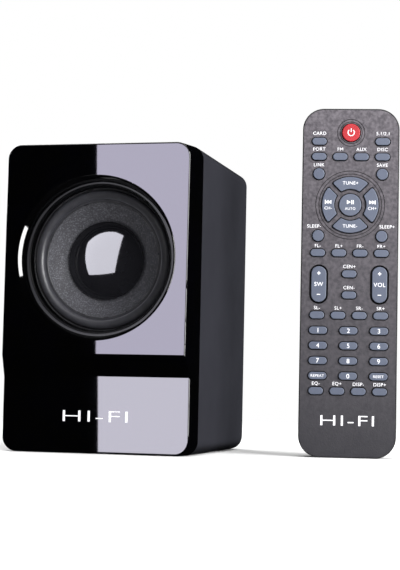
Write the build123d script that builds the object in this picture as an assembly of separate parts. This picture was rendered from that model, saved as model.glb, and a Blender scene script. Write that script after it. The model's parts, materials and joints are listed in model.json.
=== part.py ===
"""Satellite loudspeaker of a small hi-fi set, with its remote control standing beside it.

Millimetres. The origin is on the floor under the middle of the speaker. Both pieces face -Y,
+X is to the right of somebody who looks at their fronts, and +Z is up.
"""
from build123d import *
import os
from math import asin, cos, sin

# ---- speaker cabinet ----
CABINET_WIDTH = 97.4
CABINET_HEIGHT = 150.0
CABINET_DEPTH = 100.7  # from the front panel's joint to the back
CORNER_RADIUS = 7.0
WALL = 3.0
BACK_EDGE = 2.0
JOINT_EDGE = 0.4
JOINT_Y = -42.0  # where the front panel meets the cabinet
CUT = 1.0  # how far a cutting body reaches past what it cuts

# ---- front panel: an upper slab, a slanted strip under its brow, and a lower slab ----
PANEL_TOP_DEPTH = 15.6  # how far each slab stands in front of the joint
PANEL_BROW_DEPTH = 16.9
PANEL_STEP_DEPTH = 10.8
PANEL_BROW_Z = 47.9
PANEL_STEP_Z = 37.2
PANEL_SIDE_TAPER = 0.168  # draft per millimetre of depth
PANEL_END_TAPER = 0.028
PANEL_EDGE = 0.8
PANEL_SKIN = 3.0
SKIN_RISE = 0.27  # how far the inner strip sits above the outer one, per millimetre of skin
RING_BOSS_INSET = 1.0
POST_BOSS_INSET = 2.0

# ---- driver, on an axis along Y; depths are from the joint plane ----
DRIVER_Z = 94.2
RING_RADIUS = 40.0
RING_FRONT = -16.7
RING_LIP = 39.2
RING_BELLY = (35.85, -11.2)  # radius and depth of the funnel's middle
RING_EDGE = 0.36
THROAT_RADIUS = 35.0
THROAT_Y = -4.3
SKIRT_RADIUS = 36.1
LEDGE_FRONT = -6.0
FLANGE_FRONT = -3.6
FLANGE_RADIUS = 40.0
FLANGE_THICK = 0.9
RING_BOSS_RADIUS = 43.0
RING_BOSS_BACK = -3.6
ROLL_OUTER = 34.3
ROLL_INNER = 29.6
ROLL_HEIGHT = 2.3
ROLL_THICK = 0.5
INNER_LIP = 1.0  # width of the surround's flat lip on the cone
OUTER_LIP_PLAY = 0.1
CONE_EDGE_RADIUS = 29.2
CONE_EDGE_Y = -3.2
CONE_THICK = 0.8
CONE_MIDDLE = (21.0, 2.1)  # radius and depth of a point on the cone's curve
CONE_SLOPE = 0.6  # how far the back of the cone is shifted outwards there
CAP_RADIUS = 19.2
CAP_RIM_Y = 1.8
CAP_HEIGHT = 6.8
CAP_THICK = 0.5
COIL_RADIUS = 12.7  # inside of the former
COIL_FORMER = 0.25
COIL_WIRE = 0.75
COIL_OVERHANG = 1.5
FORMER_PLAY = 0.02
NECK_Y = 7.2
SPIDER_Y = 10.6
SPIDER_RADIUS = 25.6
SPIDER_WAVES = 5
SPIDER_WAVE = 0.7
SPIDER_THICK = 0.5
SPIDER_SEAT = 0.9
SPIDER_PLAY = 0.2
BASKET_WALL = 1.2
BASKET_RIM = 2.4  # radius beyond the spider's
BASKET_STEP = 2.0  # width of the step behind the spider's edge
BASKET_LEDGE = 1.0  # width of the seat for the spider's edge
BASKET_HOLE = 2.2  # radius beyond the magnet's gap
BASKET_WINDOW = (24.0, 9.0, 20.0)
BASKET_WINDOW_Y = 4.6
BASKET_WINDOW_OUT = 2.0
PLATE_FRONT = 16.0
PLATE_THICK = 3.6
MAGNET_THICK = 9.0
BACK_PLATE_THICK = 4.0
MAGNET_RADIUS = 30.0
PLATE_RADIUS = 26.0
GAP_RADIUS = 14.3
POLE_RADIUS = 12.1
POLE_PROUD = 0.5
VENT_RADIUS = 3.0
MAGNET_EDGE = 0.8
MAGNET_HOLE = 2.0  # radius beyond the gap's

# ---- screws, one kind throughout ----
SCREW_RADIUS = 1.4
SCREW_LENGTH = 7.0
SCREW_HEAD_RADIUS = 2.3
SCREW_HEAD = 2.0
SCREW_PLAY = 0.06
SCREW_CLEARANCE = 0.2
SCREW_WELL_PLAY = 0.4
SCREW_CROSS = (2.6, 0.7)
POST_RADIUS = 4.2
POST_X = 40.5
POST_Z = 10.5
POST_WEB = 3.0
DRIVER_SCREW_RADIUS = 38.0
DRIVER_SCREW_DEPTH = 4.0

# ---- terminal cup in the back, with two sprung levers ----
CUP_Z = 62.0
CUP_WIDTH = 46.0
CUP_HEIGHT = 34.0
CUP_DEPTH = 15.0
CUP_WALL = 1.6
CUP_FLANGE = 3.5
CUP_FLANGE_THICK = 1.5
CUP_PLAY = 0.1
CUP_CORNER = 2.0
CUP_FLANGE_CORNER = 4.0
CUP_INNER_CORNER = 1.0
CUP_OVERLAP = 0.5
LEVER_X = 10.0
LEVER_WIDTH = 9.0
LEVER_THICK = 3.2
LEVER_TOP = 11.0
LEVER_FOOT = 3.0
LEVER_CORNER = 1.0
LEVER_INSET = 1.0
LEVER_RIBS = 3
LEVER_RIB = 0.9
LEVER_RIB_PITCH = 2.2
LEVER_RIB_LOW = 4.0
LEVER_RIB_PROUD = 0.6
LEVER_RIB_MARGIN = 1.0
LEVER_PIVOT_Y = 92.5
LEVER_PIVOT_Z = 60.0
TRUNNION_RADIUS = 1.2
TRUNNION_PLAY = 0.05
TRUNNION_REACH = 2.0
TRUNNION_END_PLAY = 0.15
EAR_THICK = 2.2
EAR_HEIGHT = 7.0
EAR_REACH = 3.0
EAR_GAP = 0.3
LEAD_HOLE_RADIUS = 1.6
LEAD_BLOCK = 9.0
LEAD_BLOCK_GAP = 1.6
LEAD_BLOCK_INSET = 3.0
LEAD_HOLE_FLOOR = 1.0

# ---- remote control, in its own frame: face at y = 0, standing on z = 0 ----
REMOTE_WIDTH = 47.6
REMOTE_LENGTH = 172.0
REMOTE_THICK = 20.0
REMOTE_CORNER = 10.5
REMOTE_X = 116.07
REMOTE_Y = -11.9
REMOTE_TURN = 9.2  # about Z, so that its face looks past the speaker's right
CASE_RIM = 0.55
CASE_WALL = 1.8
CASE_BACK_EDGE = 4.0
CASE_FRONT_EDGE = 0.25
FACE_THICK = 2.0
FACE_PLAY = 0.05
MAT_FRONT = 4.0
MAT_THICK = 1.1
MAT_INSET = (3.0, 4.0)
BOARD_FRONT = 5.2
BOARD_THICK = 1.2
BOARD_INSET = (2.5, 3.0)

# ---- keys: sizes, gap round each one, and places from the centre line and the top end ----
SMALL_KEY = (7.2, 3.6)
DIGIT_KEY = (9.0, 3.7)
ROCKER_KEY = (7.4, 17.7)
ROUND_KEY_RADIUS = 2.8
END_FLAT = 0.01  # half of the flat between an oblong key's round corners
POWER_KEY_RADIUS = 4.4
PLAY_KEY_RADIUS = 5.5
NAV_OUTER = 13.9
NAV_INNER = 7.8
NAV_SPOKE = 2.7
NAV_CORNER = 0.9
KEY_GAP = 0.42
ROCKER_GAP = 0.88
KEY_PROUD = 1.0
KEY_EDGE = 0.4
KEY_FLANGE = 0.45
FLANGE_GAP = 0.1
KEY_BACK = 3.0
GROOVE_WIDTH = 0.32
GROOVE_DEPTH = 0.35
POWER_TOP = 12.0
POWER_GROOVES = (5.4, 6.7)
NAV_TOP = 47.9
NAV_GROOVES = (15.4, 16.9)
OUTER_COLUMN = 15.55
INNER_COLUMN = 5.2
DIGIT_COLUMN = 14.85
ROCKER_TOP = 87.2
SIDE_TOP = 16.4
SOURCE_TOP = 24.0
UPPER_ROUND_TOP = 32.6
LOWER_ROUND_TOP = 63.3
FRONT_LEVEL_TOP = 71.7
CENTRE_LEVEL_TOPS = (82.0, 92.4)
SURROUND_LEVEL_TOP = 102.4
DIGIT_TOP = 109.9
DIGIT_PITCH = 7.4
TONE_TOP = 139.5

# ---- remote's battery bay and window ----
BAY_WIDTH = 27.2
BAY_LOW = 14.0
BAY_HIGH = 70.0
BAY_FLOOR = 6.6
BAY_WALL = 1.2
COVER_PLAY = 0.2
COVER_TAB = (2.4, 3.0, 1.4)
COVER_TAB_X = 12.0
COVER_TAB_DROP = 0.4
COVER_TAB_FOOT = 3.0
COVER_SLOT_PLAY = (1.0, 1.4, 2.2)
COVER_OVERLAP = 0.1
NOTCH = (12.0, 3.0)
NOTCH_DEPTH = 0.8
NOTCH_DROP = 4.0
CELL_RADIUS = 5.25
CELL_LENGTH = 43.5
CELL_NUB_RADIUS = 1.9
CELL_NUB = 1.0
CELL_X = 6.2
CELL_Y = 12.8
CELL_EDGE = 0.5
CONTACT_THICK = 0.4
CONTACT_WIDTH = 8.0
CONTACT_SPRING = 6.4
SPRING_RADII = (4.0, 2.4)
SPRING_PLAY = 0.1
WINDOW_SIZE = (14.0, 6.0)
WINDOW_Y = 9.0
WINDOW_PLAY = 0.05
WINDOW_EDGE = 0.04
WINDOW_RIM = 0.6

SPEAKER = Pos(0, JOINT_Y, 0)
REMOTE = Pos(REMOTE_X, REMOTE_Y, 0) * Rot(Z=REMOTE_TURN)
DRIVER = Pos(0, 0, DRIVER_Z)


def upright(sketch, y=0.0, x=0.0, z=0.0):
    """Stand a flat sketch up in the XZ plane."""
    return Pos(x, y, z) * (Plane.XZ * sketch)


def slab(sketch, y0, y1, x=0.0, z=0.0):
    """A flat sketch stood up and thickened from y0 to y1."""
    return extrude(upright(sketch, y0, x, z), amount=y0 - y1)


def rod(radius, y0, y1, x=0.0, z=0.0):
    """A round bar along Y."""
    return slab(Circle(radius), y0, y1, x, z)


def lathe(*edges):
    """Turn a closed outline, drawn as (radius, y), about the driver's axis."""
    return DRIVER * revolve(make_face(Curve() + list(edges)), Axis.Y, 360)


def turned(points):
    """Turn a polygon of (radius, y) points about the driver's axis."""
    return lathe(Polyline(*points, close=True))


def around_driver(count, start=45.0):
    """Places spaced evenly about the driver's axis."""
    return [DRIVER * Rot(Y=start + index * 360.0 / count) for index in range(count)]


def save(name, solid, place):
    """Write one sub-part in the row's frame."""
    moved = place * solid
    moved.label = name
    export_step(moved, os.path.join("parts", name + ".step"))


# ---------------------------------------------------------------- speaker


def panel_form(skin):
    """The front panel's outer form, or the hollow that leaves the given skin."""
    reach = PANEL_BROW_DEPTH + CUT
    width, height = CABINET_WIDTH - 2 * skin, CABINET_HEIGHT - 2 * skin
    radius = CORNER_RADIUS - skin
    back = RectangleRounded(width, height, radius)
    front = RectangleRounded(
        width - 2 * reach * PANEL_SIDE_TAPER, height - 2 * reach * PANEL_END_TAPER, radius
    )
    middle = CABINET_HEIGHT / 2
    block = loft([upright(front, -reach, z=middle).face(), upright(back, 0.0, z=middle).face()])
    rise = skin * SKIN_RISE
    profile = Polyline(
        (0, -CUT),
        (skin - PANEL_STEP_DEPTH, -CUT),
        (skin - PANEL_STEP_DEPTH, PANEL_STEP_Z + rise),
        (skin - PANEL_BROW_DEPTH, PANEL_BROW_Z + rise),
        (skin - PANEL_TOP_DEPTH, CABINET_HEIGHT + CUT),
        (0, CABINET_HEIGHT + CUT),
        close=True,
    )
    return block & extrude(Plane.YZ * make_face(profile), amount=CABINET_WIDTH, both=True)


def rounded_panel():
    """The panel's outer form with its outer front edges rounded."""
    form = panel_form(0.0)
    slabs = form.faces().filter_by(lambda face: face.normal_at().Y < -0.99)
    inner = (PANEL_BROW_Z, PANEL_STEP_Z)
    edges = [
        edge
        for edge in slabs.edges()
        if all(abs(edge.center().Z - z) > PANEL_EDGE for z in inner)
    ]
    return fillet(edges, PANEL_EDGE)


def post_places():
    """Centres of the four corner posts."""
    for x in (-POST_X, POST_X):
        for z in (POST_Z, CABINET_HEIGHT - POST_Z):
            yield x, z


def driver_screw_holes():
    """Blind holes behind the ring for the screws through the driver's flange."""
    hole = rod(SCREW_RADIUS + SCREW_PLAY, LEDGE_FRONT - DRIVER_SCREW_DEPTH, 0, DRIVER_SCREW_RADIUS)
    return [place * hole for place in around_driver(4)]


def front_panel():
    """Glossy moulding: skin, ring boss, ledge behind the driver's flange, corner bosses."""
    skin = rounded_panel() - panel_form(PANEL_SKIN)
    boss = rod(RING_BOSS_RADIUS, RING_BOSS_INSET - PANEL_TOP_DEPTH, RING_BOSS_BACK, z=DRIVER_Z)
    panel = skin + boss
    for x, z in post_places():
        panel += rod(POST_RADIUS, POST_BOSS_INSET - PANEL_STEP_DEPTH, 0.0, x, z)
    panel -= rod(RING_RADIUS + SCREW_PLAY, -PANEL_BROW_DEPTH - CUT, LEDGE_FRONT, z=DRIVER_Z)
    panel -= rod(SKIRT_RADIUS + SCREW_PLAY, LEDGE_FRONT - CUT, RING_BOSS_BACK + CUT, z=DRIVER_Z)
    for x, z in post_places():
        panel -= rod(SCREW_RADIUS + SCREW_PLAY, PANEL_SKIN - PANEL_STEP_DEPTH, CUT, x, z)
    return panel - driver_screw_holes()


def driver_trim_ring():
    """Funnel from the panel's face down to the surround, with a rounded lip."""
    ring = lathe(
        Line((RING_RADIUS, RING_FRONT), (RING_RADIUS, LEDGE_FRONT)),
        Line((RING_RADIUS, LEDGE_FRONT), (SKIRT_RADIUS, LEDGE_FRONT)),
        Line((SKIRT_RADIUS, LEDGE_FRONT), (SKIRT_RADIUS, THROAT_Y)),
        Line((SKIRT_RADIUS, THROAT_Y), (THROAT_RADIUS, THROAT_Y)),
        ThreePointArc((THROAT_RADIUS, THROAT_Y), RING_BELLY, (RING_LIP, RING_FRONT)),
        Line((RING_LIP, RING_FRONT), (RING_RADIUS, RING_FRONT)),
    )
    outer = ring.edges().group_by(Axis.Y)[0]
    return fillet(outer, RING_EDGE) - driver_screw_holes()


def cup_outline(grow, corner):
    """Outline of the terminal cup, grown all round."""
    return RectangleRounded(CUP_WIDTH + 2 * grow, CUP_HEIGHT + 2 * grow, corner)


def cabinet_shell():
    """Open-fronted box with four screw posts and an opening for the terminal cup."""
    middle = CABINET_HEIGHT / 2
    outline = RectangleRounded(CABINET_WIDTH, CABINET_HEIGHT, CORNER_RADIUS)
    shell = slab(outline, 0.0, CABINET_DEPTH, z=middle)
    back = shell.faces().sort_by(Axis.Y)[-1]
    shell = fillet(back.edges(), BACK_EDGE)
    shell = chamfer(shell.faces().sort_by(Axis.Y)[0].edges(), JOINT_EDGE)
    hollow = RectangleRounded(
        CABINET_WIDTH - 2 * WALL, CABINET_HEIGHT - 2 * WALL, CORNER_RADIUS - WALL
    )
    shell -= slab(hollow, -CUT, CABINET_DEPTH - WALL, z=middle)
    for x, z in post_places():
        shell += rod(POST_RADIUS, 0.0, CABINET_DEPTH - WALL / 2, x, z)
    for x, z in post_places():
        shell -= rod(SCREW_HEAD_RADIUS + SCREW_WELL_PLAY, POST_WEB, CABINET_DEPTH + CUT, x, z)
        shell -= rod(SCREW_RADIUS + SCREW_CLEARANCE, -CUT, POST_WEB + CUT, x, z)
    opening = cup_outline(CUP_PLAY, CUP_CORNER)
    shell -= slab(opening, CABINET_DEPTH - WALL - CUT, CABINET_DEPTH + CUT, z=CUP_Z)
    rebate = cup_outline(CUP_FLANGE + CUP_PLAY, CUP_FLANGE_CORNER)
    return shell - slab(rebate, CABINET_DEPTH - CUP_FLANGE_THICK, CABINET_DEPTH + CUT, z=CUP_Z)


def screw(y, x, z):
    """A pan-head screw with the underside of its head at y, pointing to -Y."""
    head = rod(SCREW_HEAD_RADIUS, y, y + SCREW_HEAD, x, z)
    head = fillet(head.edges().sort_by(Axis.Y)[-1], SCREW_HEAD / 3)
    for turn in (0, 90):
        cross = Rot(Z=turn) * Rectangle(*SCREW_CROSS)
        head -= slab(cross, y + SCREW_HEAD / 2, y + SCREW_HEAD + CUT, x, z)
    return head + rod(SCREW_RADIUS, y - SCREW_LENGTH, y, x, z)


def assembly_screws():
    """Four screws through the posts and four through the driver's flange."""
    screws = [screw(POST_WEB, x, z) for x, z in post_places()]
    flange_back = FLANGE_FRONT + FLANGE_THICK
    screws += [place * screw(flange_back, DRIVER_SCREW_RADIUS, 0.0) for place in around_driver(4)]
    return Compound(children=screws)


def driver_basket():
    """Pressed steel frame: flange, windowed bowl, and the seat of the magnet's front plate."""
    back = FLANGE_FRONT + FLANGE_THICK
    seat = SPIDER_Y + SPIDER_SEAT
    frame = turned(
        [
            (ROLL_OUTER, FLANGE_FRONT),
            (FLANGE_RADIUS, FLANGE_FRONT),
            (FLANGE_RADIUS, back),
            (ROLL_OUTER + BASKET_WALL, back),
            (SPIDER_RADIUS + BASKET_RIM, seat),
            (SPIDER_RADIUS + BASKET_RIM, PLATE_FRONT),
            (GAP_RADIUS + BASKET_HOLE, PLATE_FRONT),
            (GAP_RADIUS + BASKET_HOLE, PLATE_FRONT - BASKET_WALL),
            (SPIDER_RADIUS - BASKET_STEP, PLATE_FRONT - BASKET_WALL),
            (SPIDER_RADIUS - BASKET_STEP, seat),
            (SPIDER_RADIUS + BASKET_LEDGE, seat),
            (ROLL_OUTER, back),
        ]
    )
    window = Pos(0, BASKET_WINDOW_Y, MAGNET_RADIUS + BASKET_WINDOW_OUT) * Box(*BASKET_WINDOW)
    for place in around_driver(4, 0.0):
        frame -= place * window
    hole = rod(SCREW_RADIUS + SCREW_CLEARANCE, FLANGE_FRONT - CUT, back + CUT, DRIVER_SCREW_RADIUS)
    return frame - [place * hole for place in around_driver(4)]


def magnet_front_plate():
    """Soft iron ring in front of the magnet."""
    back = PLATE_FRONT + PLATE_THICK
    return turned(
        [(GAP_RADIUS, PLATE_FRONT), (PLATE_RADIUS, PLATE_FRONT), (PLATE_RADIUS, back), (GAP_RADIUS, back)]
    )


def ferrite_magnet():
    """Ring magnet with chamfered rims."""
    front = PLATE_FRONT + PLATE_THICK
    back = front + MAGNET_THICK
    rim = MAGNET_RADIUS - MAGNET_EDGE
    hole = GAP_RADIUS + MAGNET_HOLE
    return turned(
        [
            (hole, front),
            (rim, front),
            (MAGNET_RADIUS, front + MAGNET_EDGE),
            (MAGNET_RADIUS, back - MAGNET_EDGE),
            (rim, back),
            (hole, back),
        ]
    )


def magnet_yoke():
    """Back plate and pole piece in one forging, with a vent through the middle."""
    front = PLATE_FRONT + PLATE_THICK + MAGNET_THICK
    back = front + BACK_PLATE_THICK
    tip = PLATE_FRONT - POLE_PROUD
    return turned(
        [
            (VENT_RADIUS, tip),
            (POLE_RADIUS, tip),
            (POLE_RADIUS, front),
            (PLATE_RADIUS, front),
            (PLATE_RADIUS, back),
            (VENT_RADIUS, back),
        ]
    )


def cone():
    """Gently curved paper cone from the surround to the voice coil's neck."""
    neck = COIL_RADIUS + COIL_FORMER
    front_neck, back_neck = (neck, NECK_Y), (neck, NECK_Y + CONE_THICK)
    front_edge = (CONE_EDGE_RADIUS, CONE_EDGE_Y)
    back_edge = (CONE_EDGE_RADIUS, CONE_EDGE_Y + CONE_THICK)
    back_middle = (CONE_MIDDLE[0] + CONE_SLOPE, CONE_MIDDLE[1] + CONE_THICK)
    return lathe(
        ThreePointArc(front_edge, CONE_MIDDLE, front_neck),
        Line(front_neck, back_neck),
        ThreePointArc(back_neck, back_middle, back_edge),
        Line(back_edge, front_edge),
    )


def dust_cap():
    """Domed cap over the middle of the cone, part of a thin sphere."""
    sphere = (CAP_RADIUS**2 + CAP_HEIGHT**2) / (2 * CAP_HEIGHT)
    centre = CAP_RIM_Y - CAP_HEIGHT + sphere
    rim_angle = asin(CAP_RADIUS / sphere)

    def at(radius, angle):
        return (radius * sin(angle), centre - radius * cos(angle))

    inner = sphere - CAP_THICK
    return lathe(
        ThreePointArc(at(sphere, 0), at(sphere, rim_angle / 2), at(sphere, rim_angle)),
        Line(at(sphere, rim_angle), at(inner, rim_angle)),
        ThreePointArc(at(inner, rim_angle), at(inner, rim_angle / 2), at(inner, 0)),
        Line(at(inner, 0), at(sphere, 0)),
    )


def cone_surround():
    """Half-roll ring between the frame's flange and the cone's edge, with flat lips."""
    middle = (ROLL_OUTER + ROLL_INNER) / 2
    face = FLANGE_FRONT - ROLL_THICK
    outer_lip, inner_lip = SKIRT_RADIUS - OUTER_LIP_PLAY, ROLL_INNER - INNER_LIP
    back = face + ROLL_THICK
    inside, outside = (ROLL_INNER + ROLL_THICK, back), (ROLL_OUTER - ROLL_THICK, back)
    return lathe(
        Line((outer_lip, face), (ROLL_OUTER, face)),
        ThreePointArc((ROLL_OUTER, face), (middle, face - ROLL_HEIGHT), (ROLL_INNER, face)),
        Line((ROLL_INNER, face), (inner_lip, face)),
        Line((inner_lip, face), (inner_lip, back)),
        Line((inner_lip, back), inside),
        ThreePointArc(inside, (middle, back - ROLL_HEIGHT), outside),
        Line(outside, (outer_lip, back)),
        Line((outer_lip, back), (outer_lip, face)),
    )


def spider():
    """Corrugated cloth ring that centres the voice coil."""
    inner = COIL_RADIUS + COIL_FORMER + SPIDER_PLAY
    steps = 2 * SPIDER_WAVES
    pitch = (SPIDER_RADIUS - inner) / steps
    front = [
        (inner + index * pitch, SPIDER_Y - SPIDER_THICK + (SPIDER_WAVE if index % 2 else -SPIDER_WAVE))
        for index in range(steps + 1)
    ]
    back = [(radius, y + SPIDER_THICK) for radius, y in reversed(front)]
    return turned(front + back)


def voice_coil():
    """Thin former with the winding near its back end."""
    wall, wire = COIL_RADIUS + COIL_FORMER, COIL_RADIUS + COIL_FORMER + COIL_WIRE
    wound = (PLATE_FRONT - COIL_OVERHANG, PLATE_FRONT + PLATE_THICK + COIL_OVERHANG)
    former = wall - FORMER_PLAY
    return turned(
        [
            (COIL_RADIUS, NECK_Y),
            (former, NECK_Y),
            (former, wound[0]),
            (wire, wound[0]),
            (wire, wound[1]),
            (COIL_RADIUS, wound[1]),
        ]
    )


# ---------------------------------------------------------------- terminal cup


def lever_xs():
    """Places of the two levers across the cup."""
    return (-LEVER_X, LEVER_X)


def terminal_cup():
    """Flanged cup with lever ears and a block with the lead hole below each lever."""
    back = CABINET_DEPTH
    cup = slab(cup_outline(0.0, CUP_CORNER), back - CUP_DEPTH, back, z=CUP_Z)
    cup += slab(cup_outline(CUP_FLANGE, CUP_FLANGE_CORNER), back - CUP_FLANGE_THICK, back, z=CUP_Z)
    floor = back - CUP_DEPTH + CUP_WALL
    root = floor - CUP_OVERLAP
    cup -= slab(cup_outline(-CUP_WALL, CUP_INNER_CORNER), floor, back + CUT, z=CUP_Z)
    low = CUP_Z - CUP_HEIGHT / 2 + CUP_WALL - CUP_OVERLAP
    block_height = LEVER_PIVOT_Z - LEVER_FOOT - LEAD_BLOCK_GAP - low
    ear_shift = LEVER_WIDTH / 2 + EAR_GAP + EAR_THICK / 2
    for x in lever_xs():
        block = Rectangle(LEAD_BLOCK, block_height)
        cup += slab(block, root, back - LEAD_BLOCK_INSET, x, low + block_height / 2)
        for ear_x in (x - ear_shift, x + ear_shift):
            ear = Rectangle(EAR_THICK, EAR_HEIGHT)
            cup += slab(ear, root, LEVER_PIVOT_Y + EAR_REACH, ear_x, LEVER_PIVOT_Z)
    for x in lever_xs():
        cup -= rod(LEAD_HOLE_RADIUS, floor + LEAD_HOLE_FLOOR, back, x, low + block_height / 2)
        reach = LEVER_WIDTH / 2 + TRUNNION_REACH + TRUNNION_END_PLAY
        pivot = Rot(Y=90) * Cylinder(TRUNNION_RADIUS + TRUNNION_PLAY, 2 * reach)
        cup -= Pos(x, LEVER_PIVOT_Y, LEVER_PIVOT_Z) * pivot
    return cup


def terminal_lever(x):
    """Ribbed push lever with a trunnion at each side."""
    height = LEVER_TOP + LEVER_FOOT
    middle = LEVER_PIVOT_Z + (LEVER_TOP - LEVER_FOOT) / 2
    front = LEVER_PIVOT_Y - LEVER_INSET
    back = front + LEVER_THICK
    lever = slab(Rectangle(LEVER_WIDTH, height), front, back, x, middle)
    lever = fillet(lever.edges().filter_by(Axis.Y), LEVER_CORNER)
    rib = Rectangle(LEVER_WIDTH - 2 * LEVER_RIB_MARGIN, LEVER_RIB)
    for index in range(LEVER_RIBS):
        z = LEVER_PIVOT_Z + LEVER_RIB_LOW + index * LEVER_RIB_PITCH
        lever += slab(rib, back - CUP_OVERLAP, back + LEVER_RIB_PROUD, x, z)
    trunnion = Rot(Y=90) * Cylinder(TRUNNION_RADIUS, LEVER_WIDTH + 2 * TRUNNION_REACH)
    return lever + Pos(x, LEVER_PIVOT_Y, LEVER_PIVOT_Z) * trunnion


# ---------------------------------------------------------------- remote control


def from_top(distance):
    """Height of a point that is the given distance below the remote's top end."""
    return REMOTE_LENGTH - distance


def oblong(size, grow=0.0):
    """Outline with rounded ends, grown all round."""
    width, height = size[0] + 2 * grow, size[1] + 2 * grow
    return RectangleRounded(width, height, min(width, height) / 2 - END_FLAT)


def nav_sectors(grow=0.0):
    """Four sector outlines between diagonal spokes."""
    ring = Circle(NAV_OUTER + grow) - Circle(NAV_INNER - grow)
    spoke = NAV_SPOKE - 2 * grow
    for turn in (45, 135):
        ring -= Rot(Z=turn) * Rectangle(3 * NAV_OUTER, spoke)
    outlines = [make_face(face.outer_wire().edges()) for face in ring.faces()]
    return [fillet(outline.vertices(), NAV_CORNER) for outline in outlines]


def nav_name(sector):
    """Name of the navigation key whose outline this is."""
    centre = sector.center()
    if abs(centre.X) > abs(centre.Y):
        return "next_key" if centre.X > 0 else "previous_key"
    return "tune_up_key" if centre.Y > 0 else "tune_down_key"


def key_places():
    """Every key: name, outline function, centre across and from the top end."""
    def small(grow):
        return oblong(SMALL_KEY, grow)

    def digit(grow):
        return oblong(DIGIT_KEY, grow)

    def round_key(grow):
        return Circle(ROUND_KEY_RADIUS + grow)

    def power(grow):
        return Circle(POWER_KEY_RADIUS + grow)

    def play(grow):
        return Circle(PLAY_KEY_RADIUS + grow)

    keys = [("power_key", power, 0.0, POWER_TOP), ("play_key", play, 0.0, NAV_TOP)]
    columns = (-OUTER_COLUMN, -INNER_COLUMN, INNER_COLUMN, OUTER_COLUMN)
    ends = (-OUTER_COLUMN, OUTER_COLUMN)
    rows = (
        (small, ends, SIDE_TOP, ("card_key", "channel_mode_key")),
        (small, columns, SOURCE_TOP, ("port_key", "radio_key", "line_input_key", "disc_key")),
        (round_key, ends, UPPER_ROUND_TOP, ("wireless_key", "save_key")),
        (round_key, ends, LOWER_ROUND_TOP, ("sleep_down_key", "sleep_up_key")),
        (small, columns, FRONT_LEVEL_TOP, ("front_level_keys",) * 4),
        (small, columns, SURROUND_LEVEL_TOP, ("rear_level_keys",) * 4),
        (small, columns, TONE_TOP, ("tone_down_key", "tone_up_key", "display_down_key", "display_up_key")),
    )
    for outline, xs, top, names in rows:
        keys += [(name, outline, x, top) for name, x in zip(names, xs)]
    keys += [("rear_level_keys", small, 0.0, top) for top in CENTRE_LEVEL_TOPS]
    digits = ("digit_1", "digit_2", "digit_3", "digit_4", "digit_5", "digit_6")
    digits += ("digit_7", "digit_8", "digit_9", "repeat_key", "digit_0", "reset_key")
    for index, name in enumerate(digits):
        row, column = divmod(index, 3)
        keys.append((name, digit, (column - 1) * DIGIT_COLUMN, DIGIT_TOP + row * DIGIT_PITCH))
    return keys


def rocker_places():
    """The two rocker keys and their centres across."""
    return (("subwoofer_rocker", -DIGIT_COLUMN), ("volume_rocker", DIGIT_COLUMN))


def key_cap(outline, front=-KEY_PROUD, back=KEY_BACK):
    """A key's cap, with its front edge rounded."""
    cap = slab(outline, front, back)
    edges = cap.faces().sort_by(Axis.Y)[0].edges()
    return fillet(edges, KEY_EDGE)


def flanged_key(outline, flange):
    """A key's cap with the flange that keeps it behind the face."""
    return key_cap(outline) + slab(flange, FACE_THICK + FLANGE_GAP, KEY_BACK)


def make_keys():
    """Every key solid, in lists under its node's name."""
    solids = {}
    reach = KEY_GAP + KEY_FLANGE
    for name, outline, x, top in key_places():
        key = Pos(x, 0, from_top(top)) * flanged_key(outline(0.0), outline(reach))
        solids.setdefault(name, []).append(key)
    for cap, flange in zip(nav_sectors(0.0), nav_sectors(reach)):
        key = Pos(0, 0, from_top(NAV_TOP)) * flanged_key(cap, flange)
        solids[nav_name(cap)] = [key]
    for name, x in rocker_places():
        solids[name] = [Pos(x, 0, from_top(ROCKER_TOP)) * key_cap(oblong(ROCKER_KEY))]
    return solids


def face_groove(radius, x, top):
    """A thin round groove in the face."""
    ring = Circle(radius + GROOVE_WIDTH / 2) - Circle(radius - GROOVE_WIDTH / 2)
    return slab(ring, -CUT, GROOVE_DEPTH, x, from_top(top))


def face_hole(outline, x, top):
    """What a key's hole takes out of the face plate."""
    return slab(outline, -CUT, FACE_THICK + CUT, x, from_top(top))


def remote_outline(inset_x, inset_z, corner):
    """The remote's outline, drawn in from its sides and ends."""
    return RectangleRounded(REMOTE_WIDTH - 2 * inset_x, REMOTE_LENGTH - 2 * inset_z, corner)


def remote_face():
    """Printed face plate with a hole for each key and the round grooves."""
    middle = REMOTE_LENGTH / 2
    inset = CASE_RIM + FACE_PLAY
    outline = remote_outline(inset, inset, REMOTE_CORNER - inset)
    face = slab(outline, 0.0, FACE_THICK, z=middle)
    holes = [
        face_hole(outline_of(KEY_GAP), x, top) for _, outline_of, x, top in key_places()
    ]
    holes += [face_hole(outline, 0.0, NAV_TOP) for outline in nav_sectors(KEY_GAP)]
    holes += [face_hole(oblong(ROCKER_KEY, ROCKER_GAP), x, ROCKER_TOP) for _, x in rocker_places()]
    grooves = [face_groove(radius, 0.0, POWER_TOP) for radius in POWER_GROOVES]
    grooves += [face_groove(radius, 0.0, NAV_TOP) for radius in NAV_GROOVES]
    return face - holes - grooves


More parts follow.
